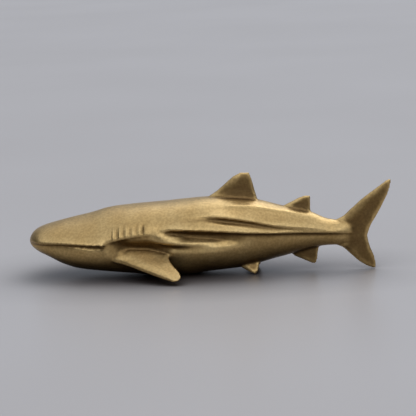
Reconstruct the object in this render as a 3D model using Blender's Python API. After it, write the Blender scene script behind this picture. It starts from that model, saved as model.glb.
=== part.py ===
"""Shark figurine: a broad-headed, ridged shark cast in one piece, resting on its belly.

Metres, +Z up. The snout points to -X and the tail to +X, the shark is mirrored across Y = 0, and
the origin is on the floor under the middle of its length. Curves are given as (place, value)
pairs: along the trunk, place is the share of BODY_LENGTH behind the tip of the snout.
"""

import math

import bmesh
import bpy
import numpy as np

# Trunk
BODY_LENGTH = 0.0934        # tip of the snout to the fork of the tail
BODY_HEIGHT = 0.0210        # floor to the highest point of the back
BODY_WIDTH = 0.0236         # across the gills
SNOUT_ROUNDING = 0.0066     # length over which the snout closes to its tip

# Mouth
LIP_HEIGHT, LIP_ABOVE, LIP_BELOW = 0.0008, 0.0038, 0.0005    # the upper lip stands out over the jaw
MOUTH_DEPTH = 0.0006
MOUTH_LIP = 0.0004          # width of the groove above its line
MOUTH_CHIN = 0.0008         # width of the groove below its line
JAW_SETBACK = 0.0005        # how far the lower jaw lies inside the upper lip
JAW_HEIGHT = 0.0060         # how far down the jaw stays set back

# Gill slits
GILL_COUNT = 5
GILL_PITCH = 0.0018
GILL_WIDTH = 0.0011
GILL_DEPTH = 0.00015
LAST_GILL_DEPTH = 0.00045

# Ridges and valleys along the flank: greatest height, then width above and below the line
UPPER_HEIGHT, UPPER_ABOVE, UPPER_BELOW = 0.0003, 0.0020, 0.0006
MIDDLE_HEIGHT, MIDDLE_ABOVE, MIDDLE_BELOW = 0.0007, 0.0030, 0.0007
TROUGH_DEPTH, TROUGH_ABOVE, TROUGH_BELOW = 0.0006, 0.0008, 0.0018
KEEL_HEIGHT, KEEL_ABOVE, KEEL_BELOW = 0.0011, 0.0034, 0.0006
VALLEY_DEPTH, VALLEY_ABOVE, VALLEY_BELOW = 0.0017, 0.0020, 0.0017
FOLD_HEIGHT, FOLD_ABOVE, FOLD_BELOW = 0.0008, 0.0018, 0.0009
HOLLOW_DEPTH, HOLLOW_ABOVE, HOLLOW_BELOW = 0.0021, 0.0027, 0.0034
CREASE_DEPTH, CREASE_ABOVE, CREASE_BELOW = 0.0005, 0.0008, 0.0016
RIDGE_SLOPE_POWER = 1.6     # 1 is a straight slope up to a ridge's edge, and more makes it hollow

# Fins: how far each stands out, its chord at the root and its thickness at root and tip
DORSAL_SPAN, DORSAL_CHORD, DORSAL_THICKNESS, DORSAL_EDGE = 0.0065, 0.0143, 0.0024, 0.0012
REAR_DORSAL_SPAN, REAR_DORSAL_CHORD = 0.0036, 0.0075
REAR_DORSAL_THICKNESS, REAR_DORSAL_EDGE = 0.0016, 0.0009
ANAL_SPAN, ANAL_CHORD, ANAL_THICKNESS, ANAL_EDGE = 0.0048, 0.0079, 0.0017, 0.0010
PELVIC_SPAN, PELVIC_CHORD, PELVIC_THICKNESS, PELVIC_EDGE = 0.0029, 0.0055, 0.0015, 0.0010
PECTORAL_SPAN, PECTORAL_CHORD = 0.0093, 0.0146
PECTORAL_THICKNESS, PECTORAL_EDGE = 0.0022, 0.0015
FIN_ROOT_DEPTH = 0.0026     # how far a fin runs on inside the trunk
LARGE_FILLET, SMALL_FILLET = 0.0007, 0.0005    # how far the foot of a fin swells into the trunk
REAR_FILLET_SHARE = 0.3     # the same behind the fin, as a share of the fillet
FILLET_HEIGHT = 0.0026      # how far up the fin the swelling reaches
MOST_SWELLING_SHARE = 2.4   # how many fillets a buried root may swell by
ROOT_SHARES = (1.0, 0.6, 0.15, -0.15)    # sections at the root, as shares of its depth under the skin

# Tail fin
TAIL_UPPER_HEIGHT = 0.0143  # fork to upper tip
TAIL_UPPER_REACH = 0.0069   # how far the upper tip lies behind the fork
TAIL_LOWER_REACH = 0.0022
TAIL_LOWER_CLEARANCE = 0.0001
TAIL_FORK_DROP = 0.0008     # how far the fork lies below the trunk's own axis
TAIL_ROOT_THICKNESS, TAIL_TIP_THICKNESS = 0.0034, 0.0011
TAIL_EDGE_SHARE, FIN_EDGE_SHARE = 0.5, 0.45    # thickness near the rear edge, as a share of the greatest
THICKEST_SHARE = 0.35       # share of the chord at which a fin is thickest

# How a fin closes at its tip: the powers its outline and thickness fall by and the least left of each
TIP_CHORD_POWER, TIP_CHORD_SHARE = 16, 0.8
TIP_THICKNESS_POWER, TIP_THICKNESS_SHARE = 6, 0.5
TAIL_TIP_POWER, TAIL_TIP_SHARE = 8, 0.2

# Where each fin's root starts, as a share of the body length
DORSAL_START_SHARE = 0.531
REAR_DORSAL_START_SHARE = 0.757
ANAL_START_SHARE = 0.772
PELVIC_START_SHARE = 0.626
PECTORAL_START_SHARE = 0.270
TAIL_START_SHARE = 0.91
GILL_START_SHARE = 0.2785

# Outlines of the trunk. Heights are shares of BODY_HEIGHT, half widths of half BODY_WIDTH
BACK = [(0, 0.65), (0.043, 0.678), (0.107, 0.75), (0.193, 0.836), (0.236, 0.889), (0.279, 0.915),
        (0.408, 0.955), (0.56, 1.0), (0.65, 0.97), (0.751, 0.862), (0.837, 0.767), (0.891, 0.669),
        (0.93, 0.65), (0.98, 0.66)]
BELLY = [(0, 0.345), (0.043, 0.300), (0.107, 0.160), (0.15, 0.10), (0.236, 0.055), (0.322, 0.018),
         (0.39, -0.012), (0.47, -0.012), (0.536, 0.025), (0.63, 0.065), (0.751, 0.195), (0.891, 0.324),
         (0.93, 0.325), (0.98, 0.32)]
HALF_WIDTH = [(0, 0.44), (0.043, 0.63), (0.107, 0.81), (0.193, 0.94), (0.279, 1.0), (0.386, 0.983),
              (0.536, 0.907), (0.644, 0.754), (0.751, 0.534), (0.837, 0.347), (0.891, 0.246),
              (0.93, 0.18), (0.98, 0.06)]
WAIST = [(0, 0.47), (0.107, 0.478), (0.20, 0.475), (0.26, 0.505), (0.322, 0.552), (0.408, 0.571),
         (0.536, 0.571), (0.644, 0.562), (0.751, 0.548), (0.891, 0.514), (0.98, 0.486)]
ROOF_SQUARENESS = [(0, 2.0), (0.06, 1.75), (0.15, 1.6), (0.24, 1.65), (0.31, 1.8), (0.42, 1.9), (0.6, 2.0),
                   (1, 2.0)]
BOTTOM_SQUARENESS = [(0, 2.1), (0.2, 2.3), (0.45, 2.4), (0.7, 2.2), (1, 2.0)]

# Lines that run the length of the flank, in degrees round the section from the back
UPPER_LINE = [(0, 36), (0.63, 35.5), (0.78, 32), (1, 30)]
TROUGH_LINE = [(0, 55), (0.45, 52), (0.515, 55), (0.59, 60), (0.67, 66.5), (0.74, 73), (0.81, 76), (1, 78)]
KEEL_LINE = [(0, 74), (0.30, 74), (0.43, 77), (0.515, 80.5), (0.59, 84.5), (0.70, 88), (0.80, 89),
             (1, 88)]
VALLEY_LINE = [(0, 80), (0.40, 80), (0.43, 83), (0.46, 87), (0.51, 90), (0.58, 93), (0.70, 95), (1, 95)]
FOLD_LINE = [(0, 85), (0.37, 85), (0.40, 91), (0.42, 95), (0.46, 97), (0.60, 101.5), (1, 103)]
MOUTH_LINE = [(0, 86), (0.107, 86), (0.20, 90), (0.24, 92), (0.28, 95), (0.34, 94), (0.42, 100.5),
              (0.60, 106), (1, 108)]
SHOULDER_DEGREES = 5.0       # where a row of points stands below the upper and above the trough line
LIP_DEGREES = 2.8            # and above the mouth's line

# Share of each feature's full height along the trunk
UPPER_GROWTH = [(0.58, 0), (0.64, 0.8), (0.70, 1), (0.77, 0.7), (0.82, 0)]
MIDDLE_GROWTH = [(0.49, 0), (0.53, 0.4), (0.57, 0.9), (0.61, 1), (0.70, 0.8), (0.80, 0.5), (0.90, 0)]
TROUGH_GROWTH = [(0.525, 0), (0.565, 0.8), (0.60, 1), (0.68, 0.9), (0.80, 0.5), (0.88, 0)]
KEEL_GROWTH = [(0.38, 0), (0.42, 0.6), (0.46, 0.9), (0.56, 1), (0.70, 0.8), (0.84, 0.65),
               (0.94, 0.3), (0.97, 0)]
VALLEY_GROWTH = [(0.40, 0), (0.44, 0.8), (0.47, 1), (0.53, 1), (0.59, 0.5), (0.66, 0)]
FOLD_GROWTH = [(0.375, 0), (0.41, 0.9), (0.44, 1), (0.48, 0.7), (0.54, 0.45), (0.62, 0)]
HOLLOW_GROWTH = [(0.235, 0), (0.26, 0.5), (0.30, 1), (0.36, 1), (0.40, 0.6), (0.44, 0)]
CREASE_GROWTH = [(0.37, 0), (0.42, 1), (0.50, 0.9), (0.57, 0.6), (0.62, 0)]
MOUTH_GROWTH = [(0, 0), (0.02, 0.4), (0.05, 0.9), (0.18, 1), (0.225, 0.8), (0.25, 0)]
GILL_MIDDLE_DEGREES, GILL_REACH_DEGREES = 71.5, 16.0    # degrees round the section

# Outline of each fin: leading and trailing edge as (share of span, share of chord)
DORSAL_LEAD = [(0, 0.08), (0.14, 0.16), (0.35, 0.27), (0.65, 0.43), (0.88, 0.55), (1, 0.64)]
DORSAL_TRAIL = [(0, 0.96), (0.4, 0.925), (0.8, 0.885), (1, 0.88)]
REAR_DORSAL_LEAD = [(0, -0.1), (0.3, 0.08), (0.58, 0.35), (0.88, 0.62), (1, 0.79)]
REAR_DORSAL_TRAIL = [(0, 0.96), (0.5, 1.0), (1, 1.04)]
ANAL_LEAD = [(0, -0.05), (0.5, 0.14), (0.73, 0.44), (1, 0.76)]
ANAL_TRAIL = [(0, 1.0), (0.47, 0.97), (0.88, 0.94), (1, 0.9)]
PELVIC_LEAD = [(0, 0), (0.5, 0.32), (0.85, 0.6), (1, 0.74)]
PELVIC_TRAIL = [(0, 0.98), (0.6, 0.95), (1, 0.88)]
PECTORAL_LEAD = [(0, 0.0), (0.12, 0.14), (0.5, 0.55), (0.93, 1.02), (1, 1.1)]
PECTORAL_TRAIL = [(0, 1.0), (0.25, 1.06), (0.75, 1.26), (0.92, 1.29), (1, 1.24)]
PECTORAL_DROOP_DEGREES, PELVIC_DROOP_DEGREES = 35.0, 62.0
PECTORAL_PITCH_DEGREES, PELVIC_PITCH_DEGREES = 3.5, 3.0    # how far the rear of the root is raised
PECTORAL_ROOT_DEGREES = 114.5       # degrees round the section where the fin leaves the trunk
PELVIC_ROOT_DEGREES = 154.0
CAUDAL_LEAD_UPPER = [(0, 0), (0.09, 0.13), (0.27, 0.27), (0.5, 0.45), (0.8, 0.735), (1, 0.93)]
CAUDAL_LEAD_LOWER = [(0, 0), (0.1, 0.15), (0.4, 0.36), (0.7, 0.57), (0.92, 0.8), (1, 0.93)]
CAUDAL_TRAIL_UPPER = [(0, 0), (0.17, 0.14), (0.35, 0.38), (0.57, 0.64), (0.82, 0.91), (1, 1)]
CAUDAL_TRAIL_LOWER = [(0, 0), (0.15, 0.1), (0.39, 0.36), (0.67, 0.82), (0.93, 1.0), (1, 0.9)]

# Mesh density
HEAD_STEP, GILL_STEP, TRUNK_STEP = 0.0013, 0.00048, 0.0014
SNOUT_RING_COUNT = 7
LINE_STEP_COUNTS = (3, 1, 2, 1, 2, 1, 1, 1, 1, 1, 9)
FIN_STATION_COUNT = 9
TAIL_LOWER_COUNT, TAIL_MIDDLE_COUNT, TAIL_UPPER_COUNT = 9, 6, 12
CHORD_SHARES = (0.0, 0.03, 0.12, 0.3, 0.55, 0.8, 0.95, 1.0)

# Gold finish
GOLD_COLOUR = (0.60, 0.42, 0.17, 1)
GOLD_METALLIC, GOLD_ROUGHNESS = 0.9, 0.45
SHARP_DEGREES = 60          # edges turned further than this are shaded as edges

TOTAL_LENGTH = BODY_LENGTH + TAIL_UPPER_REACH
SNOUT_X = -TOTAL_LENGTH / 2
FORK_X = SNOUT_X + BODY_LENGTH


def curve(points, places):
    """The smooth curve through the points, read at the places. It never overshoots a point."""
    xs, ys = np.array(points, float).T
    steps, slopes = np.diff(xs), np.diff(ys) / np.diff(xs)
    tangents = np.zeros(len(xs))
    tangents[0], tangents[-1] = slopes[0], slopes[-1]
    for i in range(1, len(xs) - 1):
        before, after = slopes[i - 1], slopes[i]
        if before * after > 0:
            tangents[i] = 2 * before * after / (before + after)
    places = np.clip(places, xs[0], xs[-1])
    cell = np.clip(np.searchsorted(xs, places, side="right") - 1, 0, len(steps) - 1)
    step = steps[cell]
    part = (places - xs[cell]) / step
    start = (1 + 2 * part) * (1 - part) ** 2 * ys[cell] + part * (1 - part) ** 2 * step * tangents[cell]
    end = part**2 * (3 - 2 * part) * ys[cell + 1] - part**2 * (1 - part) * step * tangents[cell + 1]
    return start + end


def hump(distance, above, below):
    """1 on a line and 0 at its widths above (negative distance) and below it."""
    width = np.where(distance < 0, above, below)
    return np.clip(1 - (distance / width) ** 2, 0, None) ** 2


def shelf(distance, above, below):
    """1 on a line: a slope that rises to the line from above and drops away steeply below it."""
    slope = np.clip(1 + distance / above, 0, 1) ** RIDGE_SLOPE_POWER
    drop = np.clip(1 - distance / below, 0, 1) ** 2
    return np.where(distance < 0, slope, drop)


def snout_share(share):
    """How far the section has opened from the tip of the snout, from 0 to 1."""
    along = np.clip(share * BODY_LENGTH / SNOUT_ROUNDING, 0, 1)
    return np.sqrt(1 - (1 - along) ** 3)


def trunk_point(share, angle):
    """Half width, height and mean radius of the plain trunk. The angle runs from back to belly."""
    opened = snout_share(share)
    tip = WAIST[0][1] * BODY_HEIGHT
    waist = tip + opened * (curve(WAIST, share) * BODY_HEIGHT - tip)
    back = tip + opened * (curve(BACK, share) * BODY_HEIGHT - tip)
    belly = tip + opened * (curve(BELLY, share) * BODY_HEIGHT - tip)
    half_width = opened * curve(HALF_WIDTH, share) * BODY_WIDTH / 2
    upper = angle < math.pi / 2
    squareness = np.where(upper, curve(ROOF_SQUARENESS, share), curve(BOTTOM_SQUARENESS, share))
    reach = np.where(upper, back - waist, waist - belly)
    across = half_width * np.abs(np.sin(angle)) ** (2 / squareness)
    height = waist + reach * np.sign(np.cos(angle)) * np.abs(np.cos(angle)) ** (2 / squareness)
    return across, height, (half_width + reach) / 2


def ring_angles(shares):
    """Angles round half of each section, with a point of the ring on each line of the flank."""
    upper, trough, keel = curve(UPPER_LINE, shares), curve(TROUGH_LINE, shares), curve(KEEL_LINE, shares)
    valley, fold, mouth = curve(VALLEY_LINE, shares), curve(FOLD_LINE, shares), curve(MOUTH_LINE, shares)
    back, belly = np.zeros_like(shares), np.full_like(shares, 180.0)
    lines = [back, upper, upper + SHOULDER_DEGREES, trough - SHOULDER_DEGREES, trough, keel,
             (keel + valley) / 2, valley, fold, mouth - LIP_DEGREES, mouth, belly]
    angles = [back]
    for start, end, steps in zip(lines[:-1], lines[1:], LINE_STEP_COUNTS, strict=True):
        angles += [start + (end - start) * i / steps for i in range(1, steps + 1)]
    return np.radians(np.stack(angles, axis=1))


def station_shares():
    """Places of the rings along the trunk, close together at the snout and across the gills."""
    gills_from = GILL_START_SHARE - GILL_PITCH / BODY_LENGTH
    gills_to = GILL_START_SHARE + GILL_COUNT * GILL_PITCH / BODY_LENGTH
    snout_to = SNOUT_ROUNDING / BODY_LENGTH
    turns = np.linspace(0, math.pi / 2, SNOUT_RING_COUNT + 1)
    pieces = [snout_to * (1 - np.cos(turns))]
    for start, end, step in ((snout_to, gills_from, HEAD_STEP), (gills_from, gills_to, GILL_STEP),
                             (gills_to, BACK[-1][0], TRUNK_STEP)):
        count = math.ceil((end - start) * BODY_LENGTH / step)
        pieces.append(np.linspace(start, end, count + 1)[1:])
    return np.concatenate(pieces)


def relief(share, angle, radius):
    """Height of the carving over the plain trunk."""
    def strip(profile, line, growth, above, below, shift=0.0):
        distance = (angle - np.radians(curve(line, share))) * radius - shift
        return curve(growth, share) * profile(distance, above, below)

    ridges = UPPER_HEIGHT * strip(shelf, UPPER_LINE, UPPER_GROWTH, UPPER_ABOVE, UPPER_BELOW)
    ridges += MIDDLE_HEIGHT * strip(shelf, TROUGH_LINE, MIDDLE_GROWTH, MIDDLE_ABOVE, MIDDLE_BELOW)
    ridges += KEEL_HEIGHT * strip(shelf, KEEL_LINE, KEEL_GROWTH, KEEL_ABOVE, KEEL_BELOW)
    ridges += FOLD_HEIGHT * strip(hump, FOLD_LINE, FOLD_GROWTH, FOLD_ABOVE, FOLD_BELOW)
    ridges += LIP_HEIGHT * strip(shelf, MOUTH_LINE, MOUTH_GROWTH, LIP_ABOVE, LIP_BELOW)
    cuts = TROUGH_DEPTH * strip(hump, TROUGH_LINE, TROUGH_GROWTH, TROUGH_ABOVE, TROUGH_BELOW, TROUGH_ABOVE)
    cuts += VALLEY_DEPTH * strip(hump, VALLEY_LINE, VALLEY_GROWTH, VALLEY_ABOVE, VALLEY_BELOW)
    cuts += HOLLOW_DEPTH * strip(hump, MOUTH_LINE, HOLLOW_GROWTH, HOLLOW_ABOVE, HOLLOW_BELOW)
    cuts += CREASE_DEPTH * strip(hump, MOUTH_LINE, CREASE_GROWTH, CREASE_ABOVE, CREASE_BELOW)
    cuts += MOUTH_DEPTH * strip(hump, MOUTH_LINE, MOUTH_GROWTH, MOUTH_LIP, MOUTH_CHIN, MOUTH_LIP)
    cuts += JAW_SETBACK * strip(hump, MOUTH_LINE, MOUTH_GROWTH, MOUTH_LIP, JAW_HEIGHT)
    return ridges - cuts - gill_depth(share, angle)


def gill_depth(share, angle):
    window = hump(np.degrees(angle) - GILL_MIDDLE_DEGREES, GILL_REACH_DEGREES, GILL_REACH_DEGREES)
    depth = np.zeros_like(angle)
    for number in range(GILL_COUNT):
        deepest = LAST_GILL_DEPTH if number == GILL_COUNT - 1 else GILL_DEPTH
        distance = (share - GILL_START_SHARE) * BODY_LENGTH - number * GILL_PITCH
        depth += deepest * hump(distance, GILL_WIDTH / 2, GILL_WIDTH / 2)
    return depth * window


def outward(points):
    """Unit normals of a half trunk given as rings of points."""
    along, round_ring = np.gradient(points, axis=0), np.gradient(points, axis=1)
    normals = np.cross(along, round_ring)
    normals[:, 0, 1] = normals[:, -1, 1] = 0
    normals[0] = (-1, 0, 0)
    lengths = np.linalg.norm(normals, axis=2, keepdims=True)
    return normals / np.where(lengths > 0, lengths, 1)


def trunk_rings():
    """Rings of points round the whole trunk. The first ring is the tip of the snout."""
    shares = station_shares()
    angles = ring_angles(shares)
    share = np.repeat(shares[:, None], angles.shape[1], axis=1)
    across, height, radius = trunk_point(share, angles)
    points = np.stack([SNOUT_X + share * BODY_LENGTH, across, height], axis=2)
    points += outward(points) * relief(share, angles, radius)[..., None]
    points[:, 0, 1] = points[:, -1, 1] = 0
    points[..., 2] = np.maximum(points[..., 2], 0)
    far_side = points[:, -2:0:-1] * (1, -1, 1)
    return np.concatenate([points, far_side], axis=1)


def add_mesh(name, points, faces):
    """A mesh object with its faces pointing out."""
    mesh = bpy.data.meshes.new(name)
    mesh.from_pydata([tuple(point) for point in points], [], faces)
    shape = bmesh.new()
    shape.from_mesh(mesh)
    bmesh.ops.remove_doubles(shape, verts=shape.verts, dist=1e-7)
    bmesh.ops.recalc_face_normals(shape, faces=shape.faces)
    shape.to_mesh(mesh)
    shape.free()
    thing = bpy.data.objects.new(name, mesh)
    bpy.context.scene.collection.objects.link(thing)
    return thing


def loft(name, rings):
    """A closed skin over rings of equally many points, with a flat cap at each end."""
    count, size = len(rings), len(rings[0])
    faces = [tuple(range(size)), tuple(range((count - 1) * size, count * size))]
    for ring in range(count - 1):
        for i in range(size):
            j = (i + 1) % size
            first, second = ring * size, (ring + 1) * size
            faces.append((first + i, first + j, second + j, second + i))
    return add_mesh(name, np.concatenate(rings), faces)


def make_trunk():
    rings = trunk_rings()
    size = rings.shape[1]
    points = np.concatenate([rings[0, :1], rings[1:].reshape(-1, 3)])
    last = 1 + (len(rings) - 2) * size
    faces = [tuple(range(last, last + size))]
    faces += [(0, 1 + i, 1 + (i + 1) % size) for i in range(size)]
    for ring in range(len(rings) - 2):
        first, second = 1 + ring * size, 1 + (ring + 1) * size
        for i in range(size):
            j = (i + 1) % size
            faces.append((first + i, first + j, second + j, second + i))
    return add_mesh("shark", points, faces)


def fin_section(front, rear, thickness, edge_share):
    """(place along the chord, offset from the fin's middle) round one section of a fin."""
    places = np.array(CHORD_SHARES)
    nose = np.sqrt(np.clip(1 - (1 - places / THICKEST_SHARE) ** 2, 0, None))
    taper = 1 - (1 - edge_share) * (places - THICKEST_SHARE) / (1 - THICKEST_SHARE)
    half = thickness / 2 * np.where(places < THICKEST_SHARE, nose, taper)
    half[-1] = 0
    chord = front + (rear - front) * places
    near = list(zip(chord, half, strict=True))
    far = [(place, -offset) for place, offset in near[-2:0:-1]]
    return near + far


def make_fin(name, root, span_axis, side_axis, span, chord, thickness, edge, lead, trail, fillet, pitch=0.0):
    """A fin lofted from inside the trunk to its rounded tip. Its chords run back, rising by the pitch."""
    root, span_axis, side_axis = np.array(root), np.array(span_axis), np.array(side_axis)
    chord_axis = np.array((math.cos(math.radians(pitch)), 0, math.sin(math.radians(pitch))))
    turns = np.linspace(0, math.pi / 2, FIN_STATION_COUNT)[1:]
    heights = np.concatenate([-FIN_ROOT_DEPTH * np.array(ROOT_SHARES), span * np.sin(turns)])
    rings = []
    for height in heights:
        share = max(height, 0) / span
        front, rear = chord * curve(lead, share), chord * curve(trail, share)
        foot = fillet * min(max(1 - height / FILLET_HEIGHT, 0) ** 2, MOST_SWELLING_SHARE)
        middle, half_chord = (front + rear) / 2, (rear - front) / 2
        half_chord *= math.sqrt(max(1 - share**TIP_CHORD_POWER, TIP_CHORD_SHARE**2))
        front, rear = middle - half_chord - foot, middle + half_chord + foot * REAR_FILLET_SHARE
        thick = thickness + (edge - thickness) * share
        thick *= math.sqrt(max(1 - share**TIP_THICKNESS_POWER, TIP_THICKNESS_SHARE**2))
        thick += foot
        section = fin_section(front, rear, thick, FIN_EDGE_SHARE)
        rings.append(np.array([root + height * span_axis + offset * side_axis + place * chord_axis
                               for place, offset in section]))
    return loft(name, rings)


def trunk_place(start, degrees):
    """The point of the plain trunk at a share of its length and an angle round it."""
    across, height, _ = trunk_point(np.array(start), np.radians(degrees))
    return SNOUT_X + start * BODY_LENGTH, float(across), float(height)


def make_middle_fins():
    """The two fins on the back and the one under the tail."""
    x, _, z = trunk_place(DORSAL_START_SHARE, 0.0)
    fins = [make_fin("dorsal", (x, 0, z), (0, 0, 1), (0, 1, 0), DORSAL_SPAN, DORSAL_CHORD,
                     DORSAL_THICKNESS, DORSAL_EDGE, DORSAL_LEAD, DORSAL_TRAIL, LARGE_FILLET)]
    x, _, _ = trunk_place(REAR_DORSAL_START_SHARE, 0.0)
    _, _, z = trunk_place(REAR_DORSAL_START_SHARE + REAR_DORSAL_CHORD / BODY_LENGTH / 2, 0.0)
    fins.append(make_fin("rear_dorsal", (x, 0, z), (0, 0, 1), (0, 1, 0), REAR_DORSAL_SPAN,
                         REAR_DORSAL_CHORD, REAR_DORSAL_THICKNESS, REAR_DORSAL_EDGE,
                         REAR_DORSAL_LEAD, REAR_DORSAL_TRAIL, SMALL_FILLET))
    x, _, _ = trunk_place(ANAL_START_SHARE, 180.0)
    _, _, z = trunk_place(ANAL_START_SHARE + ANAL_CHORD / BODY_LENGTH, 180.0)
    fins.append(make_fin("anal", (x, 0, z), (0, 0, -1), (0, 1, 0), ANAL_SPAN, ANAL_CHORD,
                         ANAL_THICKNESS, ANAL_EDGE, ANAL_LEAD, ANAL_TRAIL, SMALL_FILLET))
    return fins


def make_pair(name, start, root, droop, pitch, span, chord, thickness, edge, lead, trail):
    """A fin on each side of the trunk. It leaves at the angle root and slopes down by droop degrees."""
    x = SNOUT_X + start * BODY_LENGTH
    _, y, z = trunk_place(start + chord / BODY_LENGTH / 2, root)
    z -= chord / 2 * math.sin(math.radians(pitch))
    across, down = math.cos(math.radians(droop)), math.sin(math.radians(droop))
    return [make_fin(name, (x, side * y, z), (0, side * across, -down), (0, side * down, across),
                     span, chord, thickness, edge, lead, trail, SMALL_FILLET, pitch) for side in (-1, 1)]


def make_side_fins():
    """The pectoral fins behind the gills and the pelvic fins under the belly."""
    pectorals = make_pair("pectoral", PECTORAL_START_SHARE, PECTORAL_ROOT_DEGREES, PECTORAL_DROOP_DEGREES,
                          PECTORAL_PITCH_DEGREES, PECTORAL_SPAN, PECTORAL_CHORD, PECTORAL_THICKNESS,
                          PECTORAL_EDGE, PECTORAL_LEAD, PECTORAL_TRAIL)
    pelvics = make_pair("pelvic", PELVIC_START_SHARE, PELVIC_ROOT_DEGREES, PELVIC_DROOP_DEGREES,
                        PELVIC_PITCH_DEGREES, PELVIC_SPAN, PELVIC_CHORD, PELVIC_THICKNESS,
                        PELVIC_EDGE, PELVIC_LEAD, PELVIC_TRAIL)
    return pectorals + pelvics


def make_tail_fin():
    """The crescent of the tail, lofted from its lower tip to its upper tip."""
    root_x, _, root_top = trunk_place(TAIL_START_SHARE, 0.0)
    _, _, root_bottom = trunk_place(TAIL_START_SHARE, 180.0)
    _, _, axis = trunk_place(1.0, 90.0)
    low, high, fork = TAIL_LOWER_CLEARANCE, axis + TAIL_UPPER_HEIGHT, axis - TAIL_FORK_DROP
    rings = []
    for height in tail_heights(low, root_bottom, root_top, high):
        up, down = max(height - fork, 0) / (high - fork), max(fork - height, 0) / (fork - low)
        rear = FORK_X + TAIL_UPPER_REACH * curve(CAUDAL_TRAIL_UPPER, up)
        rear += TAIL_LOWER_REACH * curve(CAUDAL_TRAIL_LOWER, down)
        upper_tip, lower_tip = FORK_X + TAIL_UPPER_REACH, FORK_X + TAIL_LOWER_REACH
        if height > root_top:
            swept = curve(CAUDAL_LEAD_UPPER, (height - root_top) / (high - root_top))
            front = root_x + (upper_tip - root_x) * swept
        elif height < root_bottom:
            swept = curve(CAUDAL_LEAD_LOWER, (root_bottom - height) / (root_bottom - low))
            front = root_x + (lower_tip - root_x) * swept
        else:
            front = root_x
        spread = 1 - max(up, down)
        thickness = TAIL_TIP_THICKNESS + (TAIL_ROOT_THICKNESS - TAIL_TIP_THICKNESS) * spread**2
        thickness *= math.sqrt(max(1 - max(up, down) ** TAIL_TIP_POWER, TAIL_TIP_SHARE**2))
        rings.append(np.array([(place, offset, height) for place, offset in
                               fin_section(float(front), float(rear), thickness, TAIL_EDGE_SHARE)]))
    return loft("caudal", rings)


def tail_heights(low, root_bottom, root_top, high):
    """Heights of the tail fin's sections, closer together towards both tips."""
    quarter = math.pi / 2
    below = root_bottom - (root_bottom - low) * np.sin(np.linspace(quarter, 0, TAIL_LOWER_COUNT))
    middle = np.linspace(root_bottom, root_top, TAIL_MIDDLE_COUNT)[1:-1]
    above = root_top + (high - root_top) * np.sin(np.linspace(0, quarter, TAIL_UPPER_COUNT))
    return np.concatenate([below, middle, above])


def join(body, others):
    """One body out of overlapping pieces, by a Boolean union with each."""
    for other in others:
        union = body.modifiers.new(other.name, "BOOLEAN")
        union.operation = "UNION"
        union.object = other
        other.hide_render = True
        other.display_type = "WIRE"


def gold():
    material = bpy.data.materials.new("gold_finish")
    material.use_nodes = True
    shader = material.node_tree.nodes["Principled BSDF"]
    shader.inputs["Base Color"].default_value = GOLD_COLOUR
    shader.inputs["Metallic"].default_value = GOLD_METALLIC
    shader.inputs["Roughness"].default_value = GOLD_ROUGHNESS
    return material


def main():
    for thing in list(bpy.data.objects):
        bpy.data.objects.remove(thing)
    shark = make_trunk()
    join(shark, make_middle_fins() + make_side_fins() + [make_tail_fin()])
    shark.data.materials.append(gold())
    shark.data.shade_smooth()
    shark.data.set_sharp_from_angle(angle=math.radians(SHARP_DEGREES))


main()
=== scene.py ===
"""Looks of the gold shark figurine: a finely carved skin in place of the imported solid, its gold
paint, the floor, the light and the camera.

Metres, +Z up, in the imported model's frame. Curves are given as (place, value) pairs: along the
trunk, place is the share of BODY_LENGTH behind the tip of the snout.
"""

import math

import bmesh
import bpy
import numpy as np
from mathutils import Matrix, Vector, noise


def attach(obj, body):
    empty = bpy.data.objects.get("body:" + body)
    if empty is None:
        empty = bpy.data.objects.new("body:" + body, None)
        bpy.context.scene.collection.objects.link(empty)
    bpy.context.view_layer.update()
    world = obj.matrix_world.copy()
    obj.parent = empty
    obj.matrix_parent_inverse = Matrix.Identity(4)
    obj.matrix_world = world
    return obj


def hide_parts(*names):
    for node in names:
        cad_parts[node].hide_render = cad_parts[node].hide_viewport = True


# Trunk
BODY_LENGTH = 0.0934        # tip of the snout to the fork of the tail
BODY_HEIGHT = 0.0210        # floor to the highest point of the back
BODY_WIDTH = 0.0236         # across the gills
SNOUT_ROUNDING = 0.0066     # length over which the snout closes to its tip
SNOUT_POWER = 3             # power of the curve by which it closes: 2 is round, more is blunter

# Mouth
LIP_HEIGHT, LIP_ABOVE, LIP_BELOW = 0.0008, 0.0038, 0.0005    # the upper lip stands out over the jaw
MOUTH_DEPTH = 0.0006
MOUTH_LIP = 0.0004          # width of the groove above its line
MOUTH_CHIN = 0.0008         # width of the groove below its line
JAW_SETBACK = 0.0005        # how far the lower jaw lies inside the upper lip
JAW_HEIGHT = 0.0060         # how far down the jaw stays set back

# Gill slits
GILL_COUNT = 5
GILL_PITCH = 0.0018
GILL_WIDTH = 0.0011
GILL_DEPTH = 0.00015
LAST_GILL_DEPTH = 0.00045

# Ridges and valleys along the flank: greatest height, then width above and below the line
UPPER_HEIGHT, UPPER_ABOVE, UPPER_BELOW = 0.0003, 0.0020, 0.0006
MIDDLE_HEIGHT, MIDDLE_ABOVE, MIDDLE_BELOW = 0.0007, 0.0030, 0.0007
TROUGH_DEPTH, TROUGH_ABOVE, TROUGH_BELOW = 0.0006, 0.0008, 0.0018
KEEL_HEIGHT, KEEL_ABOVE, KEEL_BELOW = 0.0014, 0.0034, 0.0006
VALLEY_DEPTH, VALLEY_ABOVE, VALLEY_BELOW = 0.0019, 0.0020, 0.0022
FOLD_HEIGHT, FOLD_ABOVE, FOLD_BELOW = 0.0008, 0.0024, 0.0012
HOLLOW_DEPTH = 0.0021
CREASE_DEPTH, CREASE_ABOVE, CREASE_BELOW = 0.0005, 0.0008, 0.0016
RIDGE_SLOPE_POWER = 1.6     # 1 is a straight slope up to a ridge's edge, and more makes it hollow

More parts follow.
